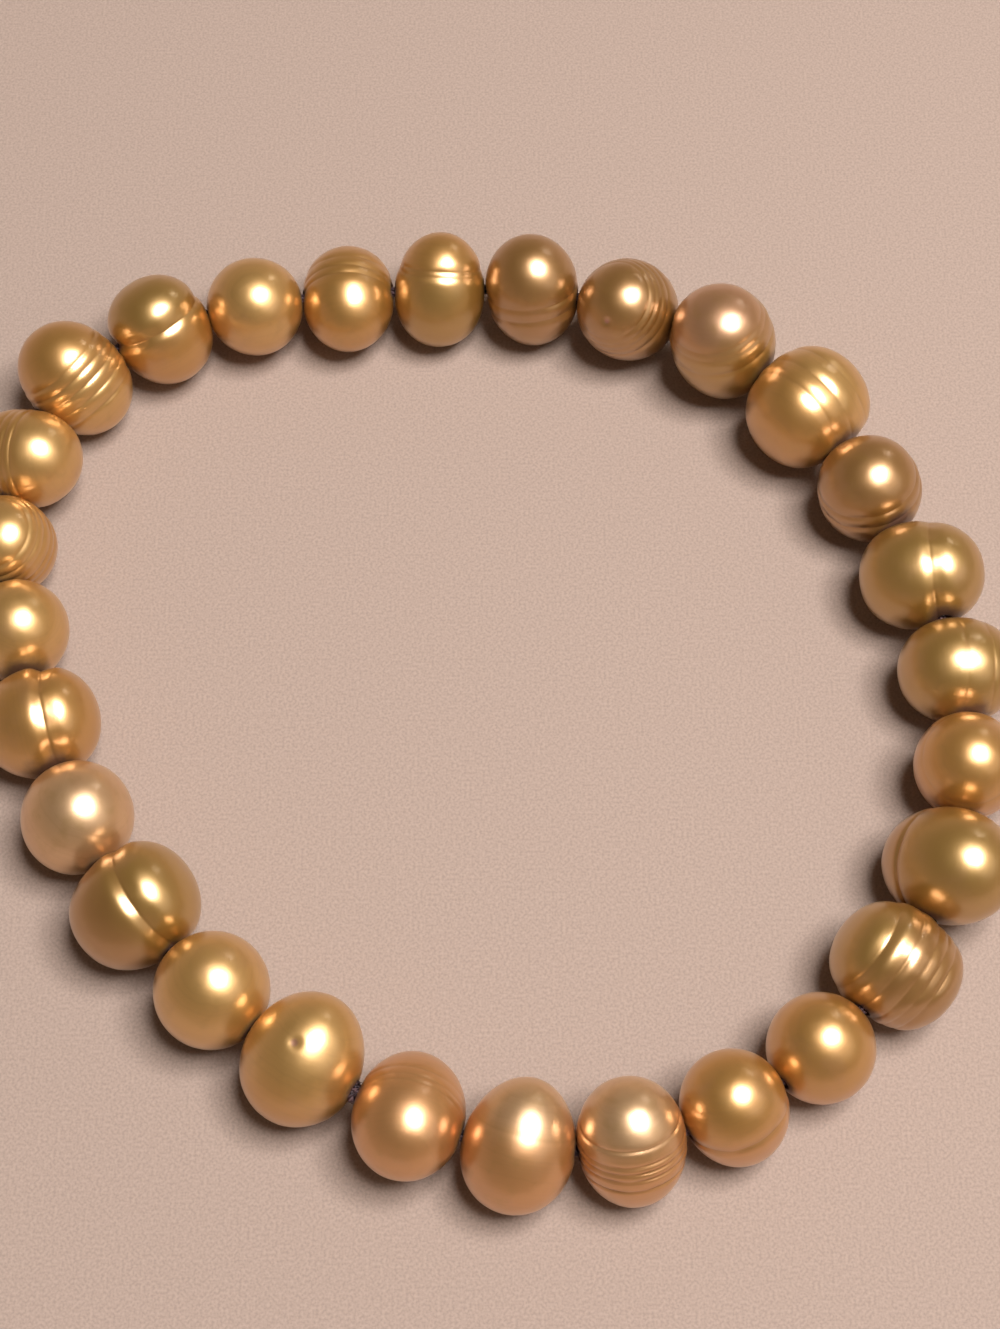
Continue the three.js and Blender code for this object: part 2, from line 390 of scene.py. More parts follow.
PEARL_ROWS = (
    # Pearl 1: the pale champagne head is partly painted sheen, and the peach tail is partly a painted
    # reflection of the floor.
    PearlRow(0.98, 1.22, -0.07, 2.0, 150, -8, (0.35,), 0.006, Tone.CHAMPAGNE, Tone.PEACH, 0.4, spread=1.5),
    PearlRow(0.97, 1.22, 0.03, 2.1, 30, -10, (-0.18, -0.02, 0.1), 0.012, Tone.PEACH, Tone.PEACH, 0.2),
    PearlRow(1.05, 1.17, -0.05, 2.0, 145, 0, (), 0.0, Tone.PALE_GOLD, Tone.GOLD, -0.3,
             Mark(0.47, -93, 0.18, 0.028, 0.8)),
    PearlRow(1.03, 1.07, 0.0, 2.0, 100, 0, (), 0.0, Tone.PALE_GOLD, Tone.BRONZE, -0.3),
    PearlRow(1.1, 1.05, 0.04, 2.2, 160, -8, (0.25,), 0.07, Tone.OLIVE, Tone.BRONZE, 0.0,
             Mark(-0.3, 200, 0.9, 0.06), spread=2.6),
    PearlRow(1.02, 1.06, 0.0, 2.0, 115, 0, (), 0.0, Tone.CHAMPAGNE, Tone.PALE_GOLD, -0.2),
    PearlRow(1.04, 1.06, 0.05, 2.1, 177, -8, (0.2,), 0.1, Tone.GOLD, Tone.GOLD, 0.0, spread=2.6, stain=0.6),
    PearlRow(0.96, 1.07, 0.0, 2.0, 105, 0, (), 0.0, Tone.PALE_GOLD, Tone.GOLD, -0.3, stain=0.6),
    PearlRow(0.93, 1.08, 0.0, 2.1, 75, -5, (0.62, 0.42, 0.25, 0.03, -0.16), 0.04,
             Tone.PALE_GOLD, Tone.GOLD, 0.2),
    PearlRow(0.98, 1.25, 0.04, 2.1, 160, 5, (0.28, 0.14, 0.0), 0.04, Tone.PALE_GOLD, Tone.GOLD, 0.3),
    PearlRow(1.0, 1.22, 0.0, 2.1, 45, -5, (0.39, 0.22, 0.04, -0.17, -0.41), 0.03,
             Tone.GOLD, Tone.PALE_GOLD, 0.2),
    PearlRow(0.98, 1.13, 0.05, 2.2, 50, -10, (0.22,), 0.1, Tone.OLIVE, Tone.GOLD, 0.2, spread=2.0),
    PearlRow(0.97, 1.05, 0.0, 2.0, 105, 0, (), 0.0, Tone.PALE_GOLD, Tone.PEACH, -0.2),
    PearlRow(0.93, 1.2, -0.03, 2.1, 175, -5, (-0.35, -0.13, 0.04), 0.03,
             Tone.GOLD, Tone.GOLD, 0.1, spread=1.4),
    PearlRow(0.91, 1.27, -0.03, 2.1, 45, 5, (0.42, 0.32), 0.03, Tone.GOLD, Tone.OLIVE, 0.3, spread=1.3),
    PearlRow(0.94, 1.22, 0.03, 2.1, 65, -10, (0.06, -0.2), 0.05, Tone.BRONZE, Tone.BRONZE, 0.3, spread=1.6),
    PearlRow(1.01, 1.12, 0.0, 2.0, 115, -20, (0.62, 0.5, 0.37, 0.2), 0.028, Tone.BRONZE, Tone.BRONZE, 0.2,
             Mark(0.87, 106, 0.13, 0.04, 1.0)),
    PearlRow(1.04, 1.18, 0.04, 2.1, 90, -20, (0.53, 0.41, 0.14), 0.03,
             Tone.ROSE, Tone.OLIVE, 0.5, spread=1.3, stain=0.6),
    PearlRow(1.13, 1.06, -0.03, 2.3, 180, 5, (0.27, -0.05, -0.42), 0.022, Tone.GOLD, Tone.PALE_GOLD, 0.0,
             Mark(0.0, 150, 0.9, 0.06), spread=1.5, stain=0.6),
    PearlRow(1.0, 1.06, 0.0, 2.1, 100, -15, (0.29, 0.02), 0.04,
             Tone.BRONZE, Tone.BRONZE, 0.3, spread=1.3, stain=0.6),
    PearlRow(1.03, 1.14, -0.03, 2.2, 15, 20, (0.2,), 0.06,
             Tone.OLIVE, Tone.OLIVE, 0.0, spread=2.2, stain=0.55),
    PearlRow(1.0, 1.12, 0.0, 2.1, 175, -5, (0.08, -0.38), 0.014, Tone.OLIVE, Tone.OLIVE, 0.1, stain=0.55),
    PearlRow(0.98, 1.12, 0.0, 2.0, 95, 10, (0.5, 0.1), 0.012, Tone.GOLD, Tone.ORANGE, 0.3),
    PearlRow(1.06, 1.2, 0.0, 2.1, 45, 5, (-0.27,), 0.05, Tone.OLIVE, Tone.BRONZE, -0.2, stain=0.55),
    PearlRow(1.07, 1.07, 0.0, 2.3, 160, 5, (0.55, 0.18, -0.12, -0.31, -0.51), 0.05,
             Tone.OLIVE, Tone.BRONZE, 0.4, spread=1.9),
    PearlRow(0.96, 1.06, 0.0, 2.0, 100, 0, (), 0.0, Tone.GOLD, Tone.ORANGE, -0.1),
    PearlRow(0.93, 1.17, 0.05, 2.1, 120, 5, (0.0,), 0.05, Tone.GOLD, Tone.PEACH, 0.05, spread=1.4),
    # Pearl 28: the pale champagne head is partly painted sheen from the lamp, and the peach tail is partly a
    # painted reflection of the floor.
    PearlRow(0.95, 1.25, 0.03, 2.1, 125, 0, (0.45, 0.2, 0.08, -0.05, -0.26), 0.045,
             Tone.CHAMPAGNE, Tone.PEACH, 0.4, spread=0.6),
)


@dataclass(frozen=True)
class NacreFinish:
    """Dyed nacre: a rough golden body under a crisper clear coat, with growth bands, drill stains,
    painted shade in the grooves, and head and tail colours that are partly painted sheen and floor
    reflection.

    Attributes:
        head: colour at the head of the pearl; partly painted sheen where the head points up.
        tail: colour at its tail; partly a painted floor reflection where a peach tail points down.
        turn: height where they meet.
        seed: which mottling it has.
        stain: how far the drill stain spreads, over the half width.
        pit: how dark the mark is.
    """

    head: Colour
    tail: Colour
    turn: float
    seed: float
    stain: float
    pit: float

    SOFTNESS = 0.35
    RAGGED_TURN = 0.5
    METAL = 0.78
    BODY_IOR = 2.0
    ROUGHNESS = 0.32
    RIM = (1.0, 0.86, 0.68)
    COAT = 1.0
    COAT_ROUGHNESS = 0.28
    COAT_IOR = 2.0
    MOTTLE_SCALE = 1.6
    CLOUD_SCALE = 3.4
    GRAIN_SCALE = 16.0
    LINES = 24.0
    LINE_WAVE = 2.5
    RAGGED_STAIN = 0.35
    STAIN_CORE = 0.45
    STAIN_DEPTH = 0.9
    STAIN_WEAR = 0.5
    STAIN_ROUGHNESS = 0.3
    BUMP_STRENGTH = 0.35
    BUMP_DISTANCE = 0.02 * MM

    def material(self, name: str) -> bpy.types.Material:
        """Builds the finish.

        Args:
            name: the material's name.

        Returns:
            The material.
        """
        sheet = Paint(name)
        form = sheet.node("ShaderNodeAttribute", {"attribute_name": "form"}).outputs["Vector"]
        height, groove = sheet.stored("height"), sheet.stored("groove")
        drill, mark = sheet.stored("drill"), sheet.stored("mark")

        mottle = sheet.noise(form, self.MOTTLE_SCALE, 3.0, self.seed)
        cloud = sheet.noise(form, self.CLOUD_SCALE, 4.0, self.seed + 7.0)
        wavy = height * self.LINES + cloud * self.LINE_WAVE
        line_place = sheet.node("ShaderNodeCombineXYZ", sockets={"Z": wavy}).outputs[0]
        lines = sheet.noise(line_place, 1.0, 2.0, self.seed + 3.0)
        ragged = drill + (cloud - 0.5) * self.RAGGED_STAIN
        stain = ragged.fade(self.stain, self.stain * self.STAIN_CORE)

        # Head and tail colours are partly the pearl's own tones and partly painted light: where the head
        # points up, a pale head is painted sheen from the lamp above, and a peach tail below is a painted
        # reflection of the floor.
        split = height + (mottle - 0.5) * self.RAGGED_TURN
        split = split.fade(self.turn - self.SOFTNESS, self.turn + self.SOFTNESS)
        body = sheet.mix(split, self.tail, self.head)
        # Each wash: where it lies, how strong it is, and its colour.
        washes = (
            (mottle.fade(0.5, 0.75), 0.3, Tone.ROSE),
            (cloud.fade(0.5, 0.7), 0.25, Tone.OLIVE),
            (lines.fade(0.45, 0.7), 0.12, Tone.BRONZE),
            # Darker bronze in the grooves' hollows: painted shade.
            (groove.fade(0.25, 1.0), 0.4, Tone.BRONZE),
            (mark.fade(0.45, 0.9), self.pit, Tone.PIT),
            (stain, self.STAIN_DEPTH, Tone.STAIN),
        )
        for area, strength, tone in washes:
            body = sheet.mix(area * strength, body, tone.value)

        relief = lines * 0.5 + sheet.noise(form, self.GRAIN_SCALE, 2.0, self.seed) * 0.35
        surface = {
            "Base Color": body,
            "Roughness": self.ROUGHNESS + mottle * 0.06 + groove * 0.04 + stain * self.STAIN_ROUGHNESS,
            "Metallic": self.METAL - stain * self.STAIN_WEAR,
            "IOR": self.BODY_IOR,
            "Specular Tint": (*self.RIM, 1.0),
            "Coat Weight": self.COAT - stain * self.STAIN_WEAR,
            "Coat Roughness": self.COAT_ROUGHNESS,
            "Coat IOR": self.COAT_IOR,
        }
        return sheet.finish(relief, self.BUMP_STRENGTH, self.BUMP_DISTANCE, surface)


@dataclass(frozen=True)
class ElasticFinish:
    """Matt stretch cord of dark purple-black fibres.

    Attributes:
        dark: the darkest colour of the fibres.
        light: the lightest.
        roughness: of the surface.
        scale: waves of the fibre pattern in a metre.
        bump_strength: how strongly the fibres stand out.
        bump_distance: how far they do.
    """

    dark: Colour = (0.022, 0.010, 0.012)
    light: Colour = (0.16, 0.08, 0.08)
    roughness: float = 0.62
    scale: float = 2600.0
    bump_strength: float = 0.6
    bump_distance: float = 0.03 * MM

    def material(self, name: str) -> bpy.types.Material:
        """Builds the finish under a name."""
        sheet = Paint(name)
        place = sheet.node("ShaderNodeTexCoord").outputs["Object"]
        fibre = sheet.noise(place, self.scale, 3.0, 0.0)
        colour = sheet.mix(fibre.fade(0.35, 0.7), self.dark, self.light)
        surface = {"Base Color": colour, "Roughness": self.roughness}
        return sheet.finish(fibre, self.bump_strength, self.bump_distance, surface)


@dataclass(frozen=True)
class FloorFinish:
    """Pale plain cloth with a fine nap.

    Attributes:
        colour: of the cloth.
        shade: the nap's darker colour over the cloth's.
        roughness: of the surface.
        scale: waves of the nap in a metre.
        bump_strength: how strongly the nap stands out.
        bump_distance: how far it does.
    """

    colour: Colour = (0.385, 0.285, 0.225)
    shade: float = 0.76
    roughness: float = 0.9
    scale: float = 6000.0
    bump_strength: float = 0.3
    bump_distance: float = 0.05 * MM

    def material(self, name: str) -> bpy.types.Material:
        """Builds the finish under a name."""
        sheet = Paint(name)
        place = sheet.node("ShaderNodeTexCoord").outputs["Object"]
        nap = sheet.noise(place, self.scale, 3.0, 0.0)
        darker = tuple(channel * self.shade for channel in self.colour)
        surface = {"Base Color": sheet.mix(nap.fade(0.3, 0.7), darker, self.colour)}
        surface |= {"Roughness": self.roughness}
        return sheet.finish(nap, self.bump_strength, self.bump_distance, surface)


@dataclass
class PearlTree:
    """The Geometry Nodes tree that grows a pearl from its sizes.

    The pearl stands on its ring axis: +Z runs to the head. It carries five attributes for its
    finish: form, the place over the half width; height, from -1 to 1; groove; mark; and drill,
    the distance from the bore's axis over the half width.

    Attributes:
        segments: faces round the ring axis.
        bands: faces along it.
        most_rings: how many grooves the tree can cut.
        unused_ring: a height past every pearl, for the grooves that it lacks.
        bore_sides: faces round the bore.
        broad: how far a groove's hollow reaches towards the head.
        steep: how far it reaches towards the tail, over that.
        sharp: how far the line at its bottom reaches.
        wave: how far a groove wanders in height.
        wave_scale: how closely it wanders.
        faintest: how deep a groove stays where it fades.
        fading: how much deeper it is elsewhere.
        fading_scale: how closely it fades.
        lump: how far the pearl bulges.
        lump_scale: how closely it bulges.
        dimple: how deep its dimples are.
        dimple_scale: how closely they lie.
    """

    segments: int = 96
    bands: int = 144
    most_rings: int = 5
    unused_ring: float = 9.0
    bore_sides: int = 40
    broad: float = 0.085
    steep: float = 0.6
    sharp: float = 0.016
    wave: float = 0.05
    wave_scale: float = 0.9
    faintest: float = 0.5
    fading: float = 0.65
    fading_scale: float = 1.7
    lump: float = 0.035
    lump_scale: float = 0.8
    dimple: float = 0.008
    dimple_scale: float = 3.0

    def build(self) -> GeometryTree:
        """Makes the tree.

        Returns:
            The tree, ready to grow pearls.
        """
        tree = GeometryTree("pearl_form")
        ring_names = [f"Ring {number}" for number in range(1, self.most_rings + 1)]
        numbers = ["Half Width", "Long", "Taper", "Full", "Cut", "Spread", *ring_names]
        numbers += ["Seed", "Mark Reach", "Mark Depth", "Bore Radius"]
        kinds = {name: "Float" for name in numbers}
        kinds |= {name: "Vector" for name in ("Mark Place", "Bore Place", "Bore Direction")}
        entry = tree.inputs(kinds | {"Material": "Material"})
        size = {name: Value(tree, entry[name]) for name in numbers}

        ball = tree.node("GeometryNodeMeshUVSphere", sockets={"Segments": self.segments, "Rings": self.bands})
        here = tree.node("GeometryNodeInputPosition").outputs[0]
        parts = tree.node("ShaderNodeSeparateXYZ", sockets={0: here})
        x, y, share = (tree.value(parts, axis) for axis in range(3))
        slow = tree.noise(here, self.wave_scale, 1.0, size["Seed"])
        shape = abs(share) ** size["Full"]
        outline = (1.0 - shape).at_least(0.0) ** (1.0 / size["Full"])
        rings = [size[name] for name in ring_names]
        groove = self._grooves(share + (slow - 0.5) * self.wave, rings, size["Spread"])
        uneven = tree.noise(here, self.fading_scale, 1.0, size["Seed"] + 5.0)
        groove = groove * (self.faintest + uneven.fade(0.3, 0.65) * self.fading)
        radius = outline * (1.0 + size["Taper"] * share) - groove * size["Cut"]
        circle = (1.0 - share * share).at_least(1e-6) ** 0.5
        swell = 1.0 + (tree.noise(here, self.lump_scale, 0.0, size["Seed"] + 11.0) - 0.5) * self.lump
        swell = swell + (tree.noise(here, self.dimple_scale, 1.0, size["Seed"] + 17.0) - 0.5) * self.dimple
        across = radius / circle * swell
        sockets = {"X": x * across, "Y": y * across, "Z": share * size["Long"] * swell}
        formed = tree.node("ShaderNodeCombineXYZ", sockets=sockets).outputs[0]
        near = self._nearness(tree, formed, entry, size)
        pressed = (1.0 - near * size["Mark Depth"]) * size["Half Width"]
        scaled = tree.vector("SCALE", {0: formed, "Scale": pressed})
        marked = self._store(tree, ball.outputs["Mesh"], "groove", groove)
        marked = self._store(tree, marked, "mark", near)
        placed = tree.node("GeometryNodeSetPosition", sockets={0: marked, "Position": scaled})
        drilled = self._drill(tree, placed.outputs[0], entry, size)
        finished = self._describe(tree, drilled, entry, size)
        smooth = tree.node("GeometryNodeSetShadeSmooth", sockets={0: finished})
        tree.finish(smooth.outputs[0], entry["Material"])
        return tree

    def _grooves(self, share: Value, rings: Sequence[Value], spread: Value) -> Value:
        """How far into a groove each height lies, from 0 to about 1.

        Args:
            share: the height.
            rings: the heights of the grooves.
            spread: how wide they are, over the plain width.

        Returns:
            The sum over the rings of a broad hollow with a sharp line at its bottom.
        """
        total = share * 0.0
        crisp = 0.5 / spread
        for ring in rings:
            above = share - ring
            gentle = above / (spread * self.broad)
            steep = above / (spread * (-self.broad * self.steep))
            hollow = gentle.at_least(steep)
            bowl = (hollow * hollow * -1.0).math("EXPONENT") * (1.0 - crisp)
            line = abs(above) * (-1.0 / self.sharp)
            total = total + bowl + line.math("EXPONENT") * crisp
        return total

    @staticmethod
    def _nearness(tree: GeometryTree, formed: Any, entry: dict, size: dict[str, Value]) -> Value:
        """How near each point is to the middle of the mark.

        Args:
            tree: the tree.
            formed: the place of each point over the half width.
            entry: the tree's inputs.
            size: its number inputs.

        Returns:
            A smooth step that is 1 at the mark's middle and 0 past its reach.
        """
        apart = Value(tree, tree.vector("DISTANCE", {0: formed, 1: entry["Mark Place"]}, "Value"))
        return (apart / size["Mark Reach"]).fade(1.0, 0.0)

    @staticmethod
    def _store(tree: GeometryTree, geometry: Any, name: str, content: Any, kind: str = "FLOAT") -> Any:
        """Stores an attribute on the points.

        Args:
            tree: the tree.
            geometry: what gets the attribute.
            name: its name.
            content: its value at each point.
            kind: its data type.

        Returns:
            The geometry with the attribute.
        """
        settings = {"data_type": kind, "domain": "POINT"}
        sockets = {"Geometry": geometry, "Name": name, "Value": content}
        return tree.node("GeometryNodeStoreNamedAttribute", settings, sockets).outputs[0]

    def _drill(self, tree: GeometryTree, solid: Any, entry: dict, size: dict[str, Value]) -> Any:
        """Cuts the bore.

        Args:
            tree: the tree.
            solid: the pearl.
            entry: the tree's inputs.
            size: its number inputs.

        Returns:
            The drilled pearl.
        """
        length = size["Half Width"] * size["Long"] * 4.0
        sockets = {"Vertices": self.bore_sides, "Radius": size["Bore Radius"], "Depth": length}
        rod = tree.node("GeometryNodeMeshCylinder", sockets=sockets)
        sockets = {"Vector": entry["Bore Direction"]}
        aim = tree.node("FunctionNodeAlignRotationToVector", {"axis": "Z"}, sockets)
        sockets = {"Geometry": rod.outputs["Mesh"], "Translation": entry["Bore Place"]}
        sockets |= {"Rotation": aim.outputs[0]}
        laid = tree.node("GeometryNodeTransform", sockets=sockets)
        cut = tree.node("GeometryNodeMeshBoolean", {"operation": "DIFFERENCE", "solver": "MANIFOLD"})
        tree.fill(cut.inputs["Mesh 1"], solid)
        tree.fill(cut.inputs["Mesh 2"], laid.outputs[0])
        return cut.outputs[0]

    def _describe(self, tree: GeometryTree, solid: Any, entry: dict, size: dict[str, Value]) -> Any:
        """Stores form, height and drill on the drilled pearl.

        Args:
            tree: the tree.
            solid: the pearl.
            entry: the tree's inputs.
            size: its number inputs.

        Returns:
            The pearl with its attributes.
        """
        here = tree.node("GeometryNodeInputPosition").outputs[0]
        inverse = 1.0 / size["Half Width"]
        form = tree.vector("SCALE", {0: here, "Scale": inverse})
        height = tree.value(tree.node("ShaderNodeSeparateXYZ", sockets={0: form}), 2) / size["Long"]
        shifted = tree.vector("SUBTRACT", {0: here, 1: entry["Bore Place"]})
        crossed = tree.vector("CROSS_PRODUCT", {0: shifted, 1: entry["Bore Direction"]})
        drill = Value(tree, tree.vector("LENGTH", {0: crossed}, "Value")) * inverse
        solid = self._store(tree, solid, "form", form, kind="FLOAT_VECTOR")
        solid = self._store(tree, solid, "height", height)
        return self._store(tree, solid, "drill", drill)


@dataclass
class PearlString:
    """The pearls, one piece for each, where their solids lie.

    Attributes:
        rows: the pearls' rows, pearl 1 first.
        mean_width: mean width along the cord.
        bore: diameter of the bores.
        swell: fills the space that the solids keep from each other.
        cord_height: height of the cord above the floor.
        seed_step: from one pearl's noise pattern to the next one's.
    """

    rows: Sequence[PearlRow] = PEARL_ROWS
    mean_width: float = MEAN_WIDTH
    bore: float = 0.95 * MM
    swell: float = 1.01
    cord_height: float = 0.0
    seed_step: float = 3.7

    def node_name(self, index: int) -> str:
        """Name of the solid of a pearl, counted round the loop from 0."""
        return f"pearl_{index % len(self.rows) + 1:02d}"

    def middle(self, index: int) -> Vector:
        """Middle of a pearl's solid."""
        low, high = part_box(self.node_name(index))
        return (low + high) / 2

    def half_width(self, index: int) -> float:
        """Half a pearl's width along the cord."""
        return self.rows[index % len(self.rows)].wide * self.mean_width / 2

    def heading(self, index: int) -> Vector:
        """Level direction of the cord through a pearl."""
        run = self.middle(index + 1) - self.middle(index - 1)
        run.z = 0.0
        return run.normalized()

    def gap(self, index: int) -> Vector:
        """Where the cord passes between a pearl and the next one."""
        ahead = self.middle(index) + self.heading(index) * self.half_width(index)
        behind = self.middle(index + 1) - self.heading(index + 1) * self.half_width(index + 1)
        between = (ahead + behind) / 2
        between.z = self.cord_height
        return between

    def stance(self, index: int) -> Matrix:
        """Turn of a pearl from its ring axis to its place in the loop."""
        row = self.rows[index]
        cord = self.heading(index)
        outward = UP.cross(cord)
        spin = math.radians(row.spin)
        skew = math.radians(row.skew)
        head = math.cos(skew) * (math.cos(spin) * outward + math.sin(spin) * UP) + math.sin(skew) * cord
        side = cord.cross(head).normalized()
        return Matrix((side, head.cross(side), head)).transposed()

    def build(self) -> list[bpy.types.Object]:
        """Grows, places and dresses every pearl.

        Returns:
            The pieces.
        """
        tree = PearlTree()
        form = tree.build()
        return [self._pearl(index, tree, form) for index in range(len(self.rows))]

    def _pearl(self, index: int, tree: PearlTree, form: GeometryTree) -> bpy.types.Object:
        """One pearl.

        Args:
            index: its number from 0.
            tree: the sizes that all pearls share.
            form: the tree that grows them.

        Returns:
            The piece.
        """
        row = self.rows[index]
        node = self.node_name(index)
        seed = 1.0 + self.seed_step * index
        finish = NacreFinish(row.head.value, row.tail.value, row.turn, seed, row.stain, row.mark.shade)
        stance = self.stance(index)
        middle = self.middle(index)
        bore_place = self.gap(index - 1).lerp(self.gap(index), 0.5) - middle
        bore_run = (self.gap(index) - self.gap(index - 1)).normalized()
        rings = list(row.rings) + [tree.unused_ring] * (tree.most_rings - len(row.rings))
        values: dict[str, Any] = {f"Ring {number}": ring for number, ring in enumerate(rings, 1)}
        values |= {
            "Half Width": self.half_width(index) * self.swell,
            "Long": row.long,
            "Taper": row.taper,
            "Full": row.full,
            "Cut": row.cut,
            "Spread": row.spread,
            "Seed": seed,
            "Mark Place": row.mark.place(row.long)[:],
            "Mark Reach": row.mark.reach,
            "Mark Depth": row.mark.depth,
            "Bore Radius": self.bore / 2,
            "Bore Place": (stance.transposed() @ bore_place)[:],
            "Bore Direction": (stance.transposed() @ bore_run)[:],
            "Material": finish.material(f"nacre_{index + 1:02d}"),
        }
        piece = form.grow(f"nacre_{node}", bpy.data.meshes.new(node), values)
        self._settle(piece, node, stance)
        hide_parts(node)
        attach(piece, "root")
        LOG.info("%s: %d faces", piece.name, len(piece.data.polygons))
        return piece

    def _settle(self, piece: bpy.types.Object, node: str, stance: Matrix) -> None:
        """Turns a grown pearl and puts it in its solid's box, on the same floor."""
        piece.data.transform(stance.to_4x4())
        corners = [vertex.co for vertex in piece.data.vertices]
        low = Vector(min(corner[axis] for corner in corners) for axis in range(3))
        high = Vector(max(corner[axis] for corner in corners) for axis in range(3))
        floor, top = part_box(node)
        shift = (floor + top) / 2 - (low + high) / 2
        shift.z = floor.z - low.z
        piece.data.transform(Matrix.Translation(shift))


@dataclass
class StrandTree:
    """The Geometry Nodes tree that lays twisted strands along a curve.

    Attributes:
        step: length of one piece of a strand.
        sides: faces round a strand.
    """

    step: float = 0.2 * MM
    sides: int = 7

    def build(self) -> GeometryTree:
        """Makes the tree.

        Returns:
            The tree, ready to lay strands.
        """
        tree = GeometryTree("twisted_strands")
        kinds = {"Geometry": "Geometry", "Strands": "Int", "Bundle Radius": "Float", "Strand Radius": "Float"}
        kinds |= {"Turns": "Float", "Material": "Material"}
        entry = tree.inputs(kinds)
        sockets = {"Curve": entry["Geometry"], "Length": self.step}
        even = tree.node("GeometryNodeResampleCurve", {"mode": "LENGTH"}, sockets)
        along = tree.value(tree.node("GeometryNodeSplineParameter"), "Factor")
        twist = along * Value(tree, entry["Turns"]) * math.tau
        twisted = tree.node("GeometryNodeSetCurveTilt", sockets={"Curve": even.outputs[0], "Tilt": twist})
        sockets = {"Resolution": entry["Strands"], "Radius": entry["Bundle Radius"]}
        ring = tree.node("GeometryNodeCurvePrimitiveCircle", sockets=sockets)
        spots = tree.node("GeometryNodeCurveToPoints", {"mode": "EVALUATED"}, {"Curve": ring.outputs[0]})
        sockets = {"Resolution": self.sides, "Radius": entry["Strand Radius"]}
        strand = tree.node("GeometryNodeCurvePrimitiveCircle", sockets=sockets)
        sockets = {"Points": spots.outputs[0], "Instance": strand.outputs[0]}
        copies = tree.node("GeometryNodeInstanceOnPoints", sockets=sockets)
        profile = tree.node("GeometryNodeRealizeInstances", sockets={0: copies.outputs[0]})
        sockets = {"Curve": twisted.outputs[0], "Profile Curve": profile.outputs[0], "Fill Caps": True}
        swept = tree.node("GeometryNodeCurveToMesh", sockets=sockets)
        smooth = tree.node("GeometryNodeSetShadeSmooth", sockets={0: swept.outputs[0]})
        tree.finish(smooth.outputs[0], entry["Material"])
        return tree


@dataclass
class ElasticCord:
    """The stretch cord through all the bores, and its knot between two pearls.

    Attributes:
        string: the pearls that it runs through.
        diameter: across the whole bundle.
        strands: how many strands it is twisted from.
        across: how many of them lie side by side across it.
        twist: length of one turn.
        stops: shares of each bore that its route is laid through.
        knot_after: the knot lies after this pearl.
        knot_radius: half its width across the cord.
        knot_length: its length along the cord.
        knot_strands: how many strands its turn is twisted from.
        knot_twists: how often they twist.
        knot_steps: pieces of its route.
        tail: places of its loose end, as shares outward, up and along the cord.
    """

    string: PearlString
    diameter: float = 0.7 * MM
    strands: int = 6
    across: int = 3
    twist: float = 4.0 * MM
    stops: tuple[float, ...] = (0.2, 0.8)
    knot_after: int = 2
    knot_radius: float = 0.7 * MM
    knot_length: float = 0.26 * MM
    knot_strands: int = 3
    knot_twists: float = 6.0
    knot_steps: int = 32
    tail: Sequence[Sequence[float]] = (
        (0.2, 0.7, 0.1), (-0.3, 0.95, 0.0), (-0.8, 0.85, -0.1), (-1.15, 0.9, 0.05),
    )

    def build(self) -> list[bpy.types.Object]:
        """Lays the cord and ties its knot.

        Returns:
            The pieces.
        """
        tree = StrandTree().build()
        material = ElasticFinish().material("elastic")
        strand = self.diameter / (2 * self.across)
        count = len(self.string.rows)
        route = []
        for index in range(count):
            start, end = self.string.gap(index - 1), self.string.gap(index)
            route += [start.lerp(end, share) for share in self.stops]
        length = sum((route[n] - route[n - 1]).length for n in range(len(route)))
        values = {"Strands": self.strands, "Bundle Radius": self.diameter / 2 - strand}
        values |= {"Strand Radius": strand}
        values |= {"Turns": float(round(length / self.twist)), "Material": material}
        cord = tree.grow("cord_strands", smooth_curve([route], closed=True), values)
        values |= {"Strands": self.knot_strands, "Turns": self.knot_twists}
        values |= {"Bundle Radius": strand * 0.9, "Strand Radius": strand * 0.8}
        knot = tree.grow("cord_knot", smooth_curve(self._knot_routes(), closed=False), values)
        for piece in (cord, knot):
            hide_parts("elastic_cord")
            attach(piece, "root")
            LOG.info("%s: %d faces", piece.name, len(piece.data.polygons))
        return [cord, knot]

    def _knot_routes(self) -> list[list[Vector]]:
        """Routes of the knot: a flat overhand turn round the cord, and one short tail."""
        index = self.knot_after - 1
        middle = self.string.gap(index)
        cord = (self.string.middle(index + 1) - self.string.middle(index)).normalized()
        outward = UP.cross(cord).normalized()
        turn = []
        for step in range(self.knot_steps + 1):
            angle = math.tau * step / self.knot_steps
            out = (math.sin(angle) + 2 * math.sin(2 * angle)) / 3
            rise = (math.cos(angle) - 2 * math.cos(2 * angle)) / 3
            along = -math.sin(3 * angle) / 2
            turn.append(middle + self._offset(out, rise, along, outward, cord))
        return [turn, [middle + self._offset(*shares, outward, cord) for shares in self.tail]]

    def _offset(self, out: float, rise: float, along: float, outward: Vector, cord: Vector) -> Vector:
        """A place in the knot from its shares outward, up and along the cord."""
        inner = self.knot_radius - self.diameter / 5
        return outward * out * inner + UP * rise * inner + cord * along * self.knot_length / 2


def smooth_curve(routes: Sequence[Sequence[Vector]], closed: bool) -> bpy.types.Curve:
    """A curve through points, rounded between them.

    Args:
        routes: the points of each spline.
        closed: whether each spline closes on itself.

    Returns:
        The curve.
    """
    curve = bpy.data.curves.new("route", "CURVE")
    curve.dimensions = "3D"
    curve.resolution_u = CURVE_STEPS
    for route in routes:
        spline = curve.splines.new("BEZIER")
        spline.bezier_points.add(len(route) - 1)
        for point, place in zip(spline.bezier_points, route):
            point.co = place
            point.handle_left_type = point.handle_right_type = "AUTO"
        spline.use_cyclic_u = closed
    return curve


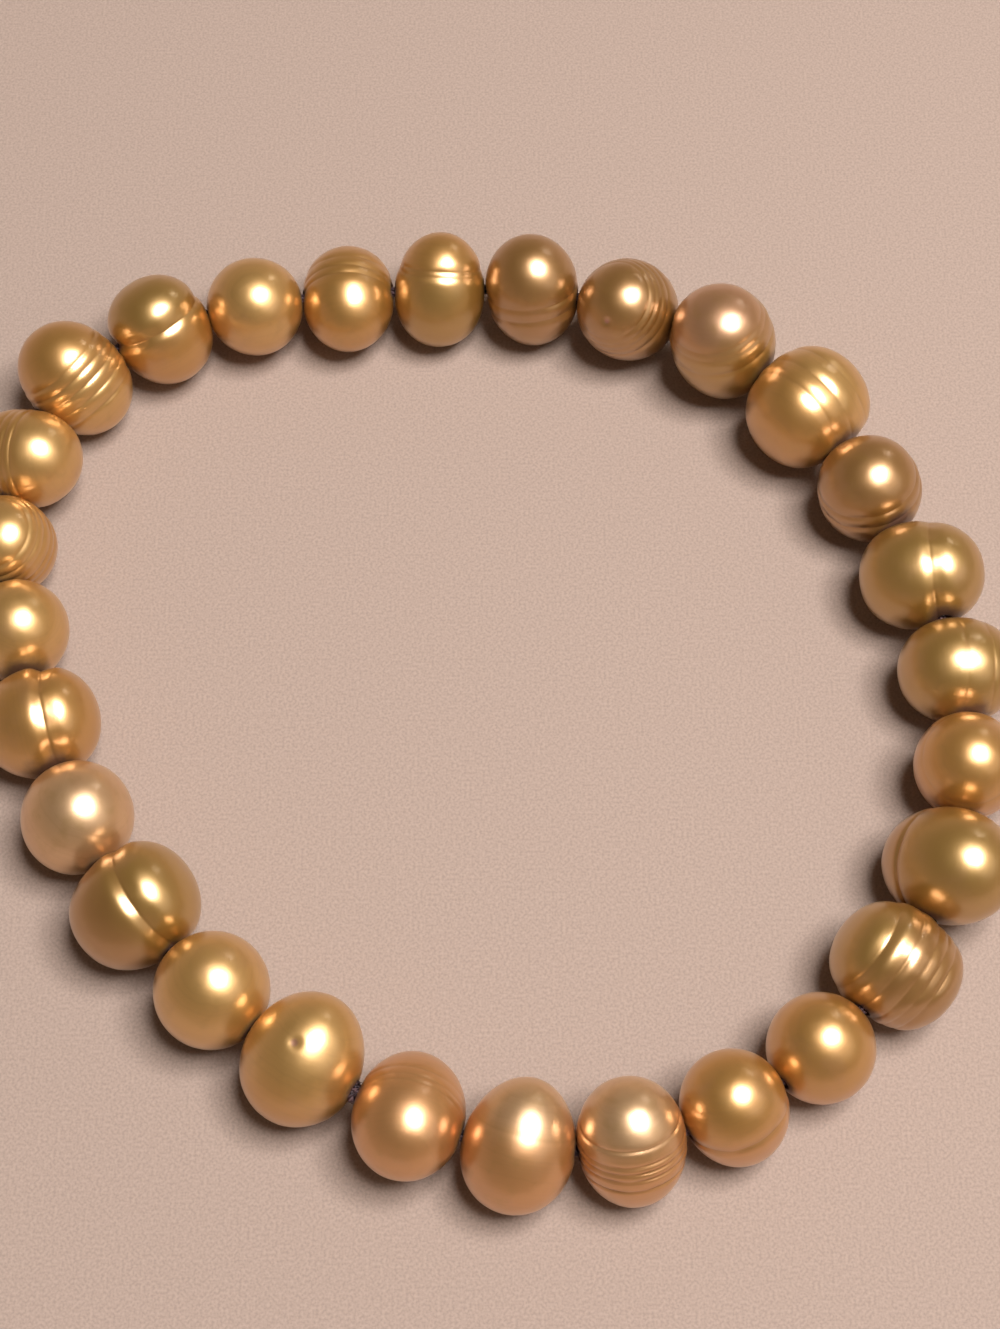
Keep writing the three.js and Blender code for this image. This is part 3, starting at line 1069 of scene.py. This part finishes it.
@dataclass(frozen=True)
class Studio:
    """Camera, floor and lights.

    Attributes:
        elevation: degrees that the camera stands above the floor.
        distance: from the camera to the point it looks at.
        aim: that point.
        lens: focal length in millimetres for a 36 mm long side.
        floor_size: width of the plain floor.
        hub_glow: how brightly the middle of the ring lamp glows.
        ring_glow: how much more its ring does.
        sky_low: colour of the surroundings at the horizon.
        sky_high: their colour overhead.
        sky_strength: how bright they are.
    """

    elevation: float = 64.8
    distance: float = 150 * MM
    aim: Vector = field(default_factory=lambda: Vector((1.45 * MM, 1.45 * MM, 3.4 * MM)))
    lens: float = 64.1
    floor_size: float = 3.0
    hub_glow: float = 0.15
    ring_glow: float = 1.15
    sky_low: Colour = (0.55, 0.40, 0.30)
    sky_high: Colour = (0.14, 0.11, 0.09)
    sky_strength: float = 0.65

    def build(self) -> None:
        """Makes the whole studio."""
        self._camera()
        self._floor()
        self._lights()
        self._world()
        bpy.context.scene.view_settings.view_transform = "Standard"

    def _camera(self) -> None:
        """A camera at the photograph's angle."""
        camera = bpy.data.objects.new("camera", bpy.data.cameras.new("camera"))
        camera.location = self.aim + self._toward() * self.distance
        camera.rotation_euler = (math.pi / 2 - math.radians(self.elevation), 0.0, 0.0)
        camera.data.lens = self.lens
        camera.data.clip_start = 5 * MM
        camera.data.clip_end = 10.0
        bpy.context.scene.collection.objects.link(camera)
        bpy.context.scene.camera = camera

    def _toward(self) -> Vector:
        """Direction from the bracelet to the camera."""
        tilt = math.radians(self.elevation)
        return Vector((0.0, -math.cos(tilt), math.sin(tilt)))

    def _floor(self) -> None:
        """A plain pale floor with a fine nap."""
        half = self.floor_size / 2
        mesh = bpy.data.meshes.new("floor")
        corners = [(-half, -half, 0), (half, -half, 0), (half, half, 0), (-half, half, 0)]
        mesh.from_pydata(corners, [], [(0, 1, 2, 3)])
        floor = bpy.data.objects.new("floor", mesh)
        bpy.context.scene.collection.objects.link(floor)
        mesh.materials.append(FloorFinish().material("floor"))

    def _light(self, name: str, direction: Vector, away: float, size: float, power: float,
               shape: str = "DISK", colour: Colour = (1.0, 1.0, 1.0)) -> bpy.types.Object:
        """An area light that faces the bracelet.

        Args:
            name: its name.
            direction: from the bracelet to the light.
            away: its distance.
            size: its width.
            power: its power in watts.
            shape: its outline.
            colour: of its light.

        Returns:
            The light's object.
        """
        data = bpy.data.lights.new(name, "AREA")
        data.shape = shape
        data.size = size
        data.energy = power
        data.color = colour
        light = bpy.data.objects.new(name, data)
        light.location = direction.normalized() * away
        light.rotation_euler = direction.to_track_quat("Z", "Y").to_euler()
        light.visible_camera = False
        bpy.context.scene.collection.objects.link(light)
        return light

    def _lights(self) -> None:
        """A ring lamp overhead, a window behind and a soft fill."""
        high = self._leaning(30, across=0.62, above=0.78)
        lamp = self._light("ring_lamp", high, away=0.5, size=0.26, power=3.8, colour=(0.98, 0.97, 1.0))
        self._make_ring(lamp.data)
        back = self._leaning(84, across=0.5, above=0.87)
        window = self._light("window", back, away=0.6, size=0.09, power=0.07, shape="RECTANGLE")
        window.data.size_y = 0.02
        side = Vector((0.9, -0.3, 0.9))
        self._light("fill", side, away=0.9, size=0.8, power=0.8, colour=(1.0, 0.93, 0.86))

    def _leaning(self, degrees: float, across: float, above: float) -> Vector:
        """A direction that leans away from the camera's.

        Args:
            degrees: by how much.
            across: the share of the lean to the picture's right.
            above: the share to its top.

        Returns:
            The direction.
        """
        toward = self._toward()
        right = Vector((1.0, 0.0, 0.0))
        return toward + math.tan(math.radians(degrees)) * (across * right + above * toward.cross(right))

    def _make_ring(self, lamp: bpy.types.Light) -> None:
        """Darkens the middle of a round lamp."""
        lamp.use_nodes = True
        sheet = NodeSheet(lamp.node_tree)
        spot = sheet.node("ShaderNodeNewGeometry").outputs["Parametric"]
        centred = sheet.vector("SUBTRACT", {0: spot, 1: (0.5, 0.5, 0.0)})
        flat = sheet.vector("MULTIPLY", {0: centred, 1: (1.0, 1.0, 0.0)})
        out = Value(sheet, sheet.vector("LENGTH", {0: flat}, "Value"))
        strength = self.hub_glow + out.fade(0.1, 0.28) * self.ring_glow
        glow = sheet.node("ShaderNodeEmission", sockets={"Strength": strength})
        sheet.node("ShaderNodeOutputLight", sockets={"Surface": glow.outputs[0]})

    def _world(self) -> None:
        """Soft surroundings: warm low down and darker overhead."""
        world = bpy.data.worlds.new("surroundings")
        bpy.context.scene.world = world
        world.use_nodes = True
        sheet = NodeSheet(world.node_tree)
        direction = sheet.node("ShaderNodeTexCoord").outputs["Generated"]
        rise = sheet.value(sheet.node("ShaderNodeSeparateXYZ", sockets={0: direction}), 2)
        colour = sheet.mix(rise.fade(0.0, 0.8), self.sky_low, self.sky_high)
        sky = sheet.node("ShaderNodeBackground", sockets={"Color": colour, "Strength": self.sky_strength})
        sheet.node("ShaderNodeOutputWorld", sockets={"Surface": sky.outputs[0]})


def main() -> None:
    """Builds the studio, the pearls and the cord."""
    logging.basicConfig(level=logging.INFO, format="%(message)s")
    Studio().build()
    low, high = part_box("elastic_cord")
    string = PearlString(cord_height=(low.z + high.z) / 2)
    string.build()
    ElasticCord(string).build()


if __name__ == "__main__":
    main()
